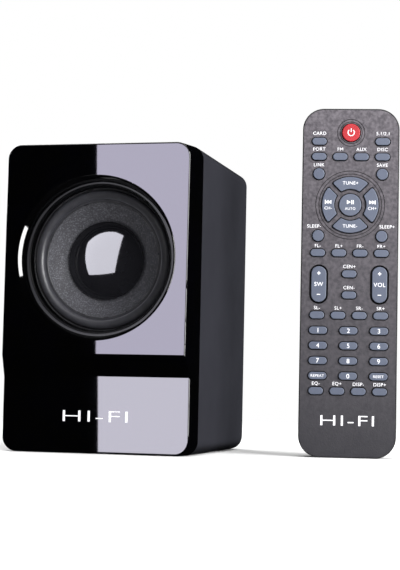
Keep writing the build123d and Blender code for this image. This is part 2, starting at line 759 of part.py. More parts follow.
def remote_case():
    """Tub with a rim round the face plate, a battery bay and a window slot in its top end."""
    middle = REMOTE_LENGTH / 2
    case = slab(remote_outline(0.0, 0.0, REMOTE_CORNER), 0.0, REMOTE_THICK, z=middle)
    case = fillet(case.faces().sort_by(Axis.Y)[-1].edges(), CASE_BACK_EDGE)
    case = fillet(case.faces().sort_by(Axis.Y)[0].edges(), CASE_FRONT_EDGE)
    hollow = remote_outline(CASE_WALL, CASE_WALL, REMOTE_CORNER - CASE_WALL)
    case -= slab(hollow, -CUT, REMOTE_THICK - CASE_WALL, z=middle)
    rebate = remote_outline(CASE_RIM, CASE_RIM, REMOTE_CORNER - CASE_RIM)
    case -= slab(rebate, -CUT, FACE_THICK, z=middle)
    bay_height = BAY_HIGH - BAY_LOW
    bay_middle = (BAY_HIGH + BAY_LOW) / 2
    walls = Rectangle(BAY_WIDTH + 2 * BAY_WALL, bay_height + 2 * BAY_WALL)
    case += slab(walls, BAY_FLOOR, REMOTE_THICK - CASE_WALL / 2, z=bay_middle)
    bay = Rectangle(BAY_WIDTH, bay_height)
    case -= slab(bay, BAY_FLOOR + CASE_WALL / 2, REMOTE_THICK + CUT, z=bay_middle)
    slot_width, slot_height, slot_depth = map(sum, zip(COVER_TAB, COVER_SLOT_PLAY))
    slot = Rectangle(slot_width, slot_height)
    depth = REMOTE_THICK - CASE_WALL
    for x in (-COVER_TAB_X, COVER_TAB_X):
        case -= slab(slot, depth - COVER_TAB_DROP - slot_depth, depth, x, BAY_LOW - COVER_TAB[1] / 2)
    width, height = WINDOW_SIZE
    window = Box(width + 2 * WINDOW_PLAY, height + 2 * WINDOW_PLAY, 3 * CASE_WALL)
    return case - Pos(0, WINDOW_Y, REMOTE_LENGTH) * window


def infrared_window():
    """Dark window flush with the top end."""
    width, height = WINDOW_SIZE
    thick = CASE_WALL + WINDOW_RIM
    pane = Box(width, height, thick)
    pane = fillet(pane.edges().filter_by(Axis.Z), WINDOW_EDGE)
    return Pos(0, WINDOW_Y, REMOTE_LENGTH - thick / 2) * pane


def battery_cover():
    """Lid of the battery bay with two tabs at its low edge and a finger notch at its top."""
    height = BAY_HIGH - BAY_LOW - 2 * COVER_PLAY
    middle = (BAY_HIGH + BAY_LOW) / 2
    inner = REMOTE_THICK - CASE_WALL
    lid = slab(Rectangle(BAY_WIDTH - 2 * COVER_PLAY, height), inner, REMOTE_THICK, z=middle)
    tab_width, tab_length, tab_thick = COVER_TAB
    low = BAY_LOW + COVER_PLAY
    tab_back = inner - COVER_TAB_DROP
    for x in (-COVER_TAB_X, COVER_TAB_X):
        foot = Rectangle(tab_width, COVER_TAB_FOOT)
        lid += slab(foot, tab_back - tab_thick, inner + COVER_OVERLAP, x, low + COVER_TAB_FOOT / 2)
        tab = Rectangle(tab_width, tab_length + COVER_OVERLAP)
        lid += slab(tab, tab_back - tab_thick, tab_back, x, low + (COVER_OVERLAP - tab_length) / 2)
    notch = slab(oblong(NOTCH), REMOTE_THICK - NOTCH_DEPTH, REMOTE_THICK + CUT, 0.0, BAY_HIGH - NOTCH_DROP)
    return lid - notch


def cell_direction(x):
    """+1 where a cell's nub points up, -1 where it points down."""
    return 1 if x > 0 else -1


def batteries():
    """Two round cells side by side, the opposite way up."""
    cells = []
    middle = (BAY_LOW + BAY_HIGH) / 2
    for x in (-CELL_X, CELL_X):
        way = cell_direction(x)
        z = middle + way * (CONTACT_SPRING - CELL_NUB) / 2
        body = fillet(Cylinder(CELL_RADIUS, CELL_LENGTH).edges(), CELL_EDGE)
        nub = Pos(0, 0, way * (CELL_LENGTH + CELL_NUB) / 2) * Cylinder(CELL_NUB_RADIUS, CELL_NUB)
        cells.append(Pos(x, CELL_Y, z) * (body + nub))
    return Compound(children=cells)


def battery_contacts():
    """A flat plate at each end of each cell, with a tapered spring on the flat end's plate."""
    contacts = []
    for x in (-CELL_X, CELL_X):
        way = cell_direction(x)
        for end in (-1, 1):
            wall = BAY_HIGH if end > 0 else BAY_LOW
            z = wall - end * CONTACT_THICK / 2
            plate = Pos(x, CELL_Y, z) * Box(CONTACT_WIDTH, CONTACT_WIDTH, CONTACT_THICK)
            if end != way:
                cell_end = (BAY_LOW + BAY_HIGH) / 2 + way * (CONTACT_SPRING - CELL_NUB - CELL_LENGTH) / 2
                length = abs(wall - cell_end) - CONTACT_THICK - SPRING_PLAY
                taper = Cone(*SPRING_RADII[::-end], length)
                plate += Pos(x, CELL_Y, z - end * (CONTACT_THICK + length) / 2) * taper
            contacts.append(plate)
    return Compound(children=contacts)


def key_mat():
    """Rubber sheet with the keys' domes, lying on the circuit board."""
    outline = remote_outline(*MAT_INSET, REMOTE_CORNER - max(MAT_INSET))
    return slab(outline, MAT_FRONT, MAT_FRONT + MAT_THICK, z=REMOTE_LENGTH / 2)


def circuit_board():
    """Flat board behind the key mat."""
    outline = remote_outline(*BOARD_INSET, REMOTE_CORNER - max(BOARD_INSET))
    return slab(outline, BOARD_FRONT, BOARD_FRONT + BOARD_THICK, z=REMOTE_LENGTH / 2)


def main():
    os.makedirs("parts", exist_ok=True)
    speaker = {
        "cabinet_shell": cabinet_shell(),
        "front_panel": front_panel(),
        "driver_trim_ring": driver_trim_ring(),
        "driver_basket": driver_basket(),
        "magnet_front_plate": magnet_front_plate(),
        "ferrite_magnet": ferrite_magnet(),
        "magnet_yoke": magnet_yoke(),
        "cone": cone(),
        "dust_cap": dust_cap(),
        "cone_surround": cone_surround(),
        "spider": spider(),
        "voice_coil": voice_coil(),
        "assembly_screws": assembly_screws(),
        "terminal_cup": terminal_cup(),
        "terminal_lever_red": terminal_lever(LEVER_X),
        "terminal_lever_black": terminal_lever(-LEVER_X),
    }
    remote = {
        "remote_case": remote_case(),
        "remote_face": remote_face(),
        "battery_cover": battery_cover(),
        "batteries": batteries(),
        "battery_contacts": battery_contacts(),
        "circuit_board": circuit_board(),
        "infrared_window": infrared_window(),
        "key_mat": key_mat(),
    }
    for name, solids in make_keys().items():
        remote[name] = solids[0] if len(solids) == 1 else Compound(children=solids)
    for name, solid in speaker.items():
        save(name, solid, SPEAKER)
    for name, solid in remote.items():
        save(name, solid, REMOTE)


main()
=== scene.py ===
"""Looks of a satellite speaker and its remote control: finishes, lettering, soft parts, lights and camera."""
import json
import logging
import math
from dataclasses import dataclass, field
from enum import Enum
from typing import Sequence

import bpy
from mathutils import Matrix, Vector

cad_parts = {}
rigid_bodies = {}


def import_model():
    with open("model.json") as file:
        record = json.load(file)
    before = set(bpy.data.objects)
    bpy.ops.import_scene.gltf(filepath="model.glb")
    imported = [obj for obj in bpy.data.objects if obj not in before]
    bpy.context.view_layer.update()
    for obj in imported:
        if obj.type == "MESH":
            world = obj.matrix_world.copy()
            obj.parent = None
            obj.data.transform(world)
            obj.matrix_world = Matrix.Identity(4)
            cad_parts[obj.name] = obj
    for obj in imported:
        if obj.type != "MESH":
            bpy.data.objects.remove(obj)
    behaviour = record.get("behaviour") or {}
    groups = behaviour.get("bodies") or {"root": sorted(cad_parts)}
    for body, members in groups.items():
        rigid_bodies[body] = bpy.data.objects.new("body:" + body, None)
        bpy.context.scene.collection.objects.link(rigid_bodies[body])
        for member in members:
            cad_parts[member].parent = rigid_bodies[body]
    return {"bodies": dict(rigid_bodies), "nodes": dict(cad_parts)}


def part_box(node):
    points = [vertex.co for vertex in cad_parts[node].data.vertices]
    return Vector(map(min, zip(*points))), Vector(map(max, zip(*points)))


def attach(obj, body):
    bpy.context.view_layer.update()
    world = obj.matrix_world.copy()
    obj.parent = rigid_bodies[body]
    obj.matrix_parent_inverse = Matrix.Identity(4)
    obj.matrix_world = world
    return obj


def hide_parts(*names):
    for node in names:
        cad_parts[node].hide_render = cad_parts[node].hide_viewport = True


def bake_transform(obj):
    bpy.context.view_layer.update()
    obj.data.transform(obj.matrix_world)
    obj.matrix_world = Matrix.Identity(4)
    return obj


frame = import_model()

LOG = logging.getLogger("hifi_set")
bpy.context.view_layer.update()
MM = 0.001
FLAT_TO_UPRIGHT = Matrix.Rotation(math.pi / 2, 4, "X")

Link = tuple[bpy.types.Node, str]
Colour = tuple[float, float, float, float]
Point = tuple[float, float]


# ------------------------------------------------------------------ small tools


def linear(code: str) -> Colour:
    """Turn an sRGB hex colour such as "#3b3b40" into a linear one.

    Args:
        code: Six hex digits after a hash.

    Returns:
        Red, green, blue and an alpha of 1, linear.
    """
    parts = [int(code[index:index + 2], 16) / 255 for index in (1, 3, 5)]
    light = [part / 12.92 if part <= 0.04045 else ((part + 0.055) / 1.055) ** 2.4 for part in parts]
    return (*light, 1.0)


def add_node(tree: bpy.types.NodeTree, kind: str, links: dict | None = None,
             **settings: object) -> bpy.types.Node:
    """Add a shader node, set it and link it.

    Args:
        tree: The node tree that gets the node.
        kind: Blender's name of the node type.
        links: Input name or number to the (node, output) that feeds it, or to a plain value.
        **settings: Attributes of the node itself.

    Returns:
        The new node.
    """
    node = tree.nodes.new(kind)
    for key, value in settings.items():
        setattr(node, key, value)
    for socket, source in (links or {}).items():
        if isinstance(source, tuple) and isinstance(source[0], bpy.types.Node):
            tree.links.new(source[0].outputs[source[1]], node.inputs[socket])
        else:
            node.inputs[socket].default_value = source
    return node


def stops(node: bpy.types.Node, *pairs: tuple[float, str]) -> Link:
    """Set the stops of a colour ramp.

    Args:
        node: The ramp node.
        *pairs: Position and sRGB hex colour of each stop, in order.

    Returns:
        The ramp and its colour output.
    """
    elements = node.color_ramp.elements
    while len(elements) < len(pairs):
        elements.new(0.5)
    for element, (position, code) in zip(elements, pairs):
        element.position = position
    for element, (position, code) in zip(elements, pairs):
        element.color = linear(code)
    return node, "Color"


def activate(*pieces: bpy.types.Object) -> None:
    """Select just these objects, the first of them active, in object mode."""
    if bpy.context.object and bpy.context.object.mode != "OBJECT":
        bpy.ops.object.mode_set(mode="OBJECT")
    bpy.ops.object.select_all(action="DESELECT")
    for piece in pieces:
        piece.select_set(True)
    if pieces:
        bpy.context.view_layer.objects.active = pieces[0]


def close_up(piece: bpy.types.Object) -> None:
    """Merge doubled points and turn the faces outwards."""
    activate(piece)
    bpy.ops.object.mode_set(mode="EDIT")
    bpy.ops.mesh.select_all(action="SELECT")
    bpy.ops.mesh.remove_doubles(threshold=1e-6)
    bpy.ops.mesh.normals_make_consistent(inside=False)
    bpy.ops.object.mode_set(mode="OBJECT")


def joined(name: str, pieces: Sequence[bpy.types.Object]) -> bpy.types.Object:
    """Join meshes into one piece and name it."""
    activate(*pieces)
    if len(pieces) > 1:
        bpy.ops.object.join()
    piece = bpy.context.object
    piece.name = piece.data.name = name
    return piece


def dress(piece: bpy.types.Object, material: bpy.types.Material) -> bpy.types.Object:
    """Give a piece one material all over."""
    piece.data.materials.clear()
    piece.data.materials.append(material)
    return piece


def arc(centre: Point, radius: float, start: float, end: float, count: int) -> list[Point]:
    """Points along an arc of a profile, in millimetres and degrees."""
    angles = [math.radians(start + (end - start) * index / count) for index in range(count + 1)]
    return [(centre[0] + radius * math.cos(angle), centre[1] + radius * math.sin(angle)) for angle in angles]


def spun(name: str, profile: Sequence[Point], axis_point: Vector, steps: int = 128) -> bpy.types.Object:
    """Turn a closed profile once round an axis along Y.

    Args:
        name: Name of the piece.
        profile: Closed outline as (radius, y) in millimetres, y from the axis point.
        axis_point: A point on the axis, in metres.
        steps: Number of steps round.

    Returns:
        The finished mesh object, with its place in its mesh.
    """
    places = [axis_point + Vector((radius * MM, y * MM, 0.0)) for radius, y in profile]
    activate()
    bpy.ops.mesh.primitive_plane_add(size=MM, location=(0, 0, 0))
    piece = joined(name, [bpy.context.object])
    bpy.ops.object.mode_set(mode="EDIT")
    bpy.ops.mesh.select_all(action="SELECT")
    bpy.ops.mesh.merge(type="CENTER")
    bpy.ops.transform.translate(value=places[0])
    for here, there in zip(places, places[1:] + places[:1]):
        bpy.ops.mesh.extrude_region_move(TRANSFORM_OT_translate={"value": there - here})
    bpy.ops.mesh.select_all(action="SELECT")
    bpy.ops.mesh.remove_doubles(threshold=1e-7)
    bpy.ops.mesh.select_all(action="SELECT")
    bpy.ops.mesh.spin(steps=steps, angle=2 * math.pi, center=axis_point, axis=(0, 1, 0))
    bpy.ops.object.mode_set(mode="OBJECT")
    close_up(piece)
    activate(piece)
    bpy.ops.object.shade_smooth_by_angle(angle=math.radians(40))
    return piece


# ------------------------------------------------------------------ finishes


@dataclass(frozen=True)
class Finish:
    """A moulded, painted or coated surface with a fine grain.

    Attributes:
        name: Material name, after the real stuff and how it was made.
        colour: Main colour, sRGB hex.
        shade: Second colour of the mottling, sRGB hex.
        mottle: Size of the mottling in millimetres.
        rough: Roughness of the shader.
        spread: How far the roughness wanders to each side.
        grain: Size of the grain in millimetres.
        depth: Height of the grain in millimetres.
        metal: Metallic share.
        ior: Index of refraction.
        sheen: Weight of the soft sheen of cloth or rubber.
    """

    name: str
    colour: str
    shade: str
    mottle: float = 12.0
    rough: float = 0.4
    spread: float = 0.04
    grain: float = 0.5
    depth: float = 0.01
    metal: float = 0.0
    ior: float = 1.5
    sheen: float = 0.0

    def base_colour(self, tree: bpy.types.NodeTree, place: Link) -> Link:
        """Mottled colour of the surface."""
        scale = 1000 / self.mottle
        cloud = add_node(tree, "ShaderNodeTexNoise", {"Vector": place, "Scale": scale, "Detail": 5.0})
        blend = add_node(tree, "ShaderNodeValToRGB", {"Fac": (cloud, "Fac")})
        return stops(blend, (0.35, self.shade), (0.65, self.colour))

    def roughness(self, tree: bpy.types.NodeTree, place: Link) -> Link:
        """Roughness that wanders a little, as from handling."""
        scale = 1000 / (2.5 * self.mottle)
        wander = add_node(tree, "ShaderNodeTexNoise", {"Vector": place, "Scale": scale, "Detail": 3.0})
        low, high = max(self.rough - self.spread, 0.01), self.rough + self.spread
        limits = {"Value": (wander, "Fac"), "From Min": 0.3, "From Max": 0.7, "To Min": low, "To Max": high}
        return add_node(tree, "ShaderNodeMapRange", limits), "Result"

    def relief(self, tree: bpy.types.NodeTree, place: Link) -> Link:
        """Height of the grain."""
        scale = 1000 / self.grain
        return add_node(tree, "ShaderNodeTexNoise", {"Vector": place, "Scale": scale, "Detail": 2.0}), "Fac"

    def make(self) -> bpy.types.Material:
        """Build the material."""
        material = bpy.data.materials.new(self.name)
        material.use_nodes = True
        material.diffuse_color = linear(self.colour)
        tree = material.node_tree
        tree.nodes.clear()
        place = (add_node(tree, "ShaderNodeTexCoord"), "Object")
        height = {"Height": self.relief(tree, place), "Distance": self.depth * MM}
        bump = add_node(tree, "ShaderNodeBump", height)
        sockets = {
            "Base Color": self.base_colour(tree, place),
            "Roughness": self.roughness(tree, place),
            "Normal": (bump, "Normal"),
            "Metallic": self.metal,
            "IOR": self.ior,
            "Sheen Weight": self.sheen,
            "Sheen Roughness": 0.4,
        }
        shader = add_node(tree, "ShaderNodeBsdfPrincipled", sockets)
        add_node(tree, "ShaderNodeOutputMaterial", {"Surface": (shader, "BSDF")})
        return material


@dataclass(frozen=True)
class Speckled(Finish):
    """Pressed paper pulp: short fibres that catch the light as fine specks.

    Attributes:
        speck: Size of the specks in millimetres.
        fleck: Colour of the lightest specks, sRGB hex.
    """

    speck: float = 0.55
    fleck: str = "#5a5a60"

    def base_colour(self, tree: bpy.types.NodeTree, place: Link) -> Link:
        """Mottled pulp with lighter fibres in it."""
        ground = super().base_colour(tree, place)
        scale = 1000 / self.speck
        fibres = add_node(tree, "ShaderNodeTexNoise", {"Vector": place, "Scale": scale, "Detail": 3.0})
        some = {"Value": (fibres, "Fac"), "From Min": 0.5, "From Max": 0.72}
        share = add_node(tree, "ShaderNodeMapRange", some)
        mix = {"Factor": (share, "Result"), 6: ground, 7: linear(self.fleck)}
        return add_node(tree, "ShaderNodeMix", mix, data_type="RGBA"), 2


@dataclass(frozen=True)
class Painted(Finish):
    """Paint on the outside of a black moulding: what lies deeper than a limit stays bare and black.

    Attributes:
        normal: Outward direction of the painted face.
        limit: Distance of the paint's edge along that direction, in metres.
        bare: Colour of the moulding, sRGB hex.
        low: Colour towards the bottom end, sRGB hex: painted shade of light that falls from above.
        span: Heights in metres between which the colour goes from low to the main one.
        blur: Half the width of the paint's edge, in metres.
    """

    normal: tuple[float, float, float] = (0.0, -1.0, 0.0)
    limit: float = 0.0
    bare: str = "#08090c"
    # Painted shade: the darker grey of the paint towards the foot
    low: str = "#504f54"
    span: Point = (0.0, 0.172)
    blur: float = 0.00006

    def base_colour(self, tree: bpy.types.NodeTree, place: Link) -> Link:
        """Mottled paint darkened downwards by painted shade, and the bare moulding below its edge."""
        ground = super().base_colour(tree, place)
        # Painted shade: the paint fades to its low colour towards the foot, as under light from above
        axes = add_node(tree, "ShaderNodeSeparateXYZ", {"Vector": place})
        rise = {"Value": (axes, "Z"), "From Min": self.span[0], "From Max": self.span[1]}
        share = add_node(tree, "ShaderNodeMapRange", rise)
        painted_shade_fade = {"Factor": (share, "Result"), 6: linear(self.low), 7: ground}
        paint = add_node(tree, "ShaderNodeMix", painted_shade_fade, data_type="RGBA")
        along = add_node(tree, "ShaderNodeVectorMath", {0: place, 1: self.normal}, operation="DOT_PRODUCT")
        low, high = self.limit - self.blur, self.limit + self.blur
        edge = {"Value": (along, "Value"), "From Min": low, "From Max": high}
        outside = add_node(tree, "ShaderNodeMapRange", edge)
        cover = {"Factor": (outside, "Result"), 6: linear(self.bare), 7: (paint, 2)}
        return add_node(tree, "ShaderNodeMix", cover, data_type="RGBA"), 2


@dataclass(frozen=True)
class Woven(Finish):
    """Cloth with threads both ways, in the plane across the Y axis.

    Attributes:
        thread: Spacing of the threads in millimetres.
    """

    thread: float = 0.8

    def relief(self, tree: bpy.types.NodeTree, place: Link) -> Link:
        """Threads that pass over and under each other."""
        scale = 2 * math.pi * 1000 / self.thread / 20
        rows = [
            add_node(tree, "ShaderNodeTexWave", {"Vector": place, "Scale": scale}, bands_direction=direction)
            for direction in ("X", "Z")
        ]
        pair = {0: (rows[0], "Fac"), 1: (rows[1], "Fac")}
        return add_node(tree, "ShaderNodeMath", pair, operation="MAXIMUM"), "Value"


@dataclass(frozen=True)
class Wound(Finish):
    """Wire or thread wound round an axis, seen as fine parallel turns.

    Attributes:
        pitch: Distance between the turns in millimetres.
        direction: Axis of the winding.
    """

    pitch: float = 0.3
    direction: str = "Y"

    def relief(self, tree: bpy.types.NodeTree, place: Link) -> Link:
        """Round turns side by side."""
        turns = {"Vector": place, "Scale": 2 * math.pi * 1000 / self.pitch / 20}
        return add_node(tree, "ShaderNodeTexWave", turns, bands_direction=self.direction), "Fac"


class Look(Enum):
    """Finishes of the set that need nothing but their own figures."""

    # ABS from a spark-eroded mould: a satin that spreads the light, with a faint blue cast
    CABINET = Finish("satin_black_abs", "#1d1d21", "#1a1a1e", 18.0, 0.42, 0.03, 0.45, 0.012)
    # ABS polished like piano lacquer: nearly black, mirror-like, with a trace of orange peel
    GLOSS = Finish("polished_black_abs", "#010102", "#010101", 20.0, 0.016, 0.004, 9.0, 0.0006)
    # The same plastic a shade duller, as on a small turned-looking moulding
    TRIM = Finish("polished_black_trim", "#050506", "#040405", 20.0, 0.05, 0.01, 7.0, 0.001)
    # Pressed steel under black electrophoretic paint: dark, with a soft shine on its edges
    BASKET = Finish("painted_pressed_steel", "#1b1b1d", "#161618", 8.0, 0.34, 0.06, 0.8, 0.01)
    # Soft iron with bright zinc: a pale metal with slightly uneven grey
    IRON = Finish("zinc_plated_iron", "#b9b8b2", "#9d9c99", 5.0, 0.32, 0.08, 0.6, 0.006, metal=1.0)
    # Sintered ceramic: dull charcoal with a coarse ground surface
    FERRITE = Finish("sintered_ferrite", "#3a3938", "#2d2c2c", 3.0, 0.68, 0.06, 0.35, 0.03)
    # Pulp felted on a screen: matt, with fibres
    CONE = Speckled("felted_paper_pulp", "#2c2c32", "#26262b", 5.0, 0.72, 0.05, 0.5, 0.04)
    # Thermoformed film, lacquered: a smooth dome with one clear reflection
    CAP = Finish("lacquered_cap_film", "#202024", "#1b1b1f", 14.0, 0.07, 0.01, 6.0, 0.001)
    # Butyl rubber from a blasted mould: satin with fine sparkle
    RUBBER = Finish("moulded_butyl_rubber", "#2e2e33", "#28282c", 3.0, 0.4, 0.08, 0.4, 0.02)
    # Cotton dipped in resin: amber cloth with a visible weave
    SPIDER = Woven("resin_dipped_cotton", "#a9813f", "#8d6a31", 4.0, 0.62, 0.05, 0.8, 0.06, sheen=0.1)
    # Enamelled copper in tight turns: a warm metal with fine lines round it
    COIL = Wound("enamelled_copper_wire", "#b0602c", "#964d20", 6.0, 0.28, 0.05, 0.3, 0.05, metal=1.0)
    # Steel under black zinc: dark metal with a dull shine
    SCREW = Finish("black_zinc_steel", "#3a3b3e", "#2f3033", 2.0, 0.36, 0.06, 0.3, 0.006, metal=1.0)
    # ABS from a blasted mould: even and dull
    CUP = Finish("moulded_black_abs", "#1a1a1c", "#161618", 10.0, 0.46, 0.04, 0.5, 0.014)
    # ABS from a lightly polished mould: plain bright colour with a soft shine
    RED_LEVER = Finish("red_abs", "#b01a20", "#a0151b", 6.0, 0.3, 0.04, 0.8, 0.006)
    BLACK_LEVER = Finish("black_abs", "#151517", "#111113", 6.0, 0.3, 0.04, 0.8, 0.006)
    # ABS from a fine spark-eroded mould: black that shows no reflections
    CASE = Finish("remote_black_abs", "#17171a", "#131315", 10.0, 0.4, 0.05, 0.5, 0.014)
    # Printed shrink sleeve of a dry cell: a smooth blue film with a clear shine
    CELL = Finish("printed_cell_sleeve", "#2f4a63", "#28425a", 9.0, 0.28, 0.05, 4.0, 0.004)
    # Spring steel under nickel: a pale, warm, bright metal
    NICKEL = Finish("nickel_plated_spring_steel", "#cfc9bb", "#bdb7aa", 3.0, 0.24, 0.06, 0.4, 0.004, 1.0)
    # Paper and resin pressed in sheets: tan, with the paper's uneven tone
    BOARD = Finish("phenolic_paper_laminate", "#7d5a35", "#6f4e2c", 2.0, 0.5, 0.05, 0.6, 0.01)
    # Dark red acrylic, moulded clear: it looks black with a glassy face
    WINDOW = Finish("infrared_window_acrylic", "#16080c", "#120609", 10.0, 0.08, 0.01, 8.0, 0.001, ior=1.49)
    # Silicone from a plain mould: grey and matt
    MAT = Finish("moulded_silicone", "#2b2c30", "#26272a", 5.0, 0.6, 0.04, 0.4, 0.01)
    # Ink laid by a pad: thin, even and nearly white
    INK = Finish("pad_printed_white", "#e9e9ec", "#dcdce0", 0.6, 0.45, 0.05, 0.15, 0.004)
    # Glue that dried where it was squeezed out: dark, with a slight shine
    BEAD = Finish("dried_contact_glue", "#2a2a2d", "#232326", 2.0, 0.3, 0.08, 0.5, 0.03)

    @property
    def material(self) -> bpy.types.Material:
        """The material of this finish, made the first time it is asked for."""
        return bpy.data.materials.get(self.value.name) or self.value.make()


# ------------------------------------------------------------------ the set's parts


@dataclass
class Driver:
    """The loudspeaker driver: its moving soft parts.

    Attributes:
        axis: Point on the driver's axis in the plane of the cabinet's joint, in metres.
        roll: Inner and outer radius of the half-roll, in millimetres.
        lips: Inner and outer radius of the surround's flat lips.
        face: Depth of the lips' front from the joint plane.
        height: How far the roll stands in front of its lips.
        thick: Thickness of the rubber.
        spider_radii: Inner and outer radius of the spider.
        spider_y: Depth of the spider's front from the joint plane.
        spider_thick: Thickness of the resined cloth.
        waves: Number of the spider's waves.
        wave: Height of each wave to either side.
        wave_points: Points along each wave.
        roll_points: Points across the half-roll.
        steps: Steps round the axis.
    """

    axis: Vector
    roll: Point = (29.6, 34.3)
    lips: Point = (28.6, 36.0)
    face: float = -4.1
    height: float = 2.3
    thick: float = 0.5
    spider_radii: Point = (13.75, 25.5)
    spider_y: float = 10.6
    waves: int = 5
    wave: float = 0.7
    spider_thick: float = 0.45
    wave_points: int = 12
    roll_points: int = 20
    steps: int = 144

    def surround(self) -> bpy.types.Object:
        """Half-roll of rubber that bends between the basket and the cone."""
        inner, outer = self.roll
        middle, half = (inner + outer) / 2, (outer - inner) / 2
        radius = (half * half + self.height * self.height) / (2 * self.height)
        centre = self.face - self.height + radius
        reach = math.degrees(math.asin(min(half / radius, 1.0)))
        top = arc((middle, centre), radius, 270 + reach, 270 - reach, self.roll_points)
        bottom = arc((middle, centre), radius - self.thick, 270 - reach, 270 + reach,
                     self.roll_points)
        profile = [(self.lips[1], self.face), *top, (self.lips[0], self.face)]
        profile += [(self.lips[0], self.face + self.thick), *bottom, (self.lips[1], self.face + self.thick)]
        return spun("rubber_surround", profile, self.axis, self.steps)

    def spider(self) -> bpy.types.Object:
        """Corrugated disc that centres the coil and bends with it."""
        inner, outer = self.spider_radii
        count = self.waves * self.wave_points
        front = []
        for index in range(count + 1):
            share = index / count
            # The waves grow and die away over a sixth of the width at each edge
            fade = min(1.0, 6 * share, 6 * (1 - share))
            y = self.spider_y + self.wave * fade * math.sin(2 * math.pi * self.waves * share)
            front.append((inner + (outer - inner) * share, y))
        back = [(radius, y + self.spider_thick) for radius, y in reversed(front)]
        return spun("corrugated_spider", front + back, self.axis, self.steps)

    def bend(self, piece: bpy.types.Object, inner: float, outer: float) -> None:
        """Bake the ring's place into its mesh.

        Args:
            piece: The ring.
            inner: Radius in millimetres where the ring meets the cone; not used.
            outer: Radius from which it would stay with the speaker; not used.
        """
        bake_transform(piece)

    def beads(self) -> None:
        """The rounded edge of the surround's lip on the cone, and the gasket's edge inside the funnel."""
        lip = (28.55, -3.8, 0.34, "cone")
        gasket = (34.85, -4.6, 0.36, "speaker")
        for name, (radius, y, size, body) in {"surround_lip_bead": lip, "gasket_bead": gasket}.items():
            profile = arc((radius, y), size, 0, 330, 11)
            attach(dress(spun(name, profile, self.axis, self.steps), Look.BEAD.material), body)

    def build(self) -> None:
        """Make the soft parts and dress them."""
        surround = dress(self.surround(), Look.RUBBER.material)
        self.bend(surround, *self.roll)
        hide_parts("cone_surround")
        spider = dress(self.spider(), Look.SPIDER.material)
        self.bend(spider, *self.spider_radii)
        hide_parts("spider")
        self.beads()
        LOG.info("driver: surround, spider and glue beads made")


@dataclass
class Stencil:
    """Lettering and signs that lie on an upright face.

    Attributes:
        face: Matrix from the face's own plane (x across, z up, front at y = 0) to the row's frame.
        film: Thickness of the ink film in millimetres.
        cap_share: Height of a capital in the built-in typeface, as a share of its size.
    """

    face: Matrix
    film: float = 0.05
    cap_share: float = 0.729

    def place(self, piece: bpy.types.Object, x: float, z: float, proud: float) -> bpy.types.Object:
        """Stand a flat mesh up and set it on the face."""
        spot = Matrix.Translation(Vector((x, -proud, z)) * MM)
        piece.data.transform(self.face @ spot @ FLAT_TO_UPRIGHT)
        return piece

    def word(self, text: str, x: float, z: float, cap: float = 1.8, proud: float = 0.0, bold: float = 0.0,
             wide: float = 1.0) -> bpy.types.Object:
        """One word, centred on a point of the face.

        Args:
            text: The letters.
            x: Distance to the right of the face's centre line, in millimetres.
            z: Height of the word's middle.
            cap: Height of a capital.
            proud: How far the ground under it stands in front of the face.
            bold: How much the strokes are thickened, as a share of the size.
            wide: Stretch across.

        Returns:
            The word as a mesh.
        """
        activate()
        bpy.ops.object.text_add()
        word = bpy.context.object
        curve = word.data
        curve.body = text
        curve.align_x, curve.align_y = "CENTER", "CENTER"
        curve.size = cap / self.cap_share * MM
        curve.offset = bold * curve.size
        curve.extrude = self.film / 2 * MM
        curve.resolution_u = 4
        curve.space_character = 1.08
        activate(word)
        bpy.ops.object.convert(target="MESH")
        word = bpy.context.object
        low = Vector(map(min, zip(*(vertex.co for vertex in word.data.vertices))))
        high = Vector(map(max, zip(*(vertex.co for vertex in word.data.vertices))))
        word.data.transform(Matrix.Diagonal((wide, 1, 1, 1)) @ Matrix.Translation(-(low + high) / 2))
        return self.place(word, x, z, proud)

    def bar(self, x: float, z: float, width: float, height: float, proud: float) -> bpy.types.Object:
        """An upright rectangle."""
        activate()
        bpy.ops.mesh.primitive_cube_add(size=1, scale=(width * MM, height * MM, self.film * MM))
        bpy.ops.object.transform_apply(location=False, rotation=False, scale=True)
        return self.place(bpy.context.object, x, z, proud)

    def arrow(self, x: float, z: float, size: float, turn: float, proud: float) -> bpy.types.Object:
        """A triangle that points right, or the other way after a half turn."""
        activate()
        bpy.ops.mesh.primitive_cylinder_add(vertices=3, radius=size * MM, depth=self.film * MM)
        piece = bpy.context.object
        piece.data.transform(Matrix.Rotation(math.radians(turn - 90), 4, "Z"))
        return self.place(piece, x, z, proud)

    def power_sign(self, x: float, z: float, radius: float, proud: float) -> list[bpy.types.Object]:
        """An open ring with a bar in its gap.

        Args:
            x: Distance to the right of the face's centre line, in millimetres.
            z: Height of the ring's middle.
            radius: Radius of the ring.
            proud: How far the ground under it stands in front of the face.

        Returns:
            The ring and the bar.
        """
        half_gap, stroke = 38, 0.42
        activate()
        bpy.ops.mesh.primitive_plane_add(size=1, location=(0, 0, 0))
        ring = bpy.context.object
        bpy.ops.object.mode_set(mode="EDIT")
        bpy.ops.mesh.select_all(action="SELECT")
        bpy.ops.transform.resize(value=(stroke * MM, self.film * MM, 1.0))
        bpy.ops.object.mode_set(mode="OBJECT")
        ring.data.transform(Matrix.Rotation(math.pi / 2, 4, "X"))
        ring.data.transform(Matrix.Translation((radius * MM, 0, 0)))
        ring.data.transform(Matrix.Rotation(math.radians(90 + half_gap), 4, "Z"))
        activate(ring)
        bpy.ops.object.mode_set(mode="EDIT")
        bpy.ops.mesh.select_all(action="SELECT")
        sweep = math.radians(2 * half_gap - 360)
        bpy.ops.mesh.spin(steps=30, angle=sweep, center=(0, 0, 0), axis=(0, 0, 1))
        bpy.ops.object.mode_set(mode="OBJECT")
        self.place(ring, x, z, proud)
        return [ring, self.bar(x, z + radius * 0.75, stroke, radius * 1.1, proud)]


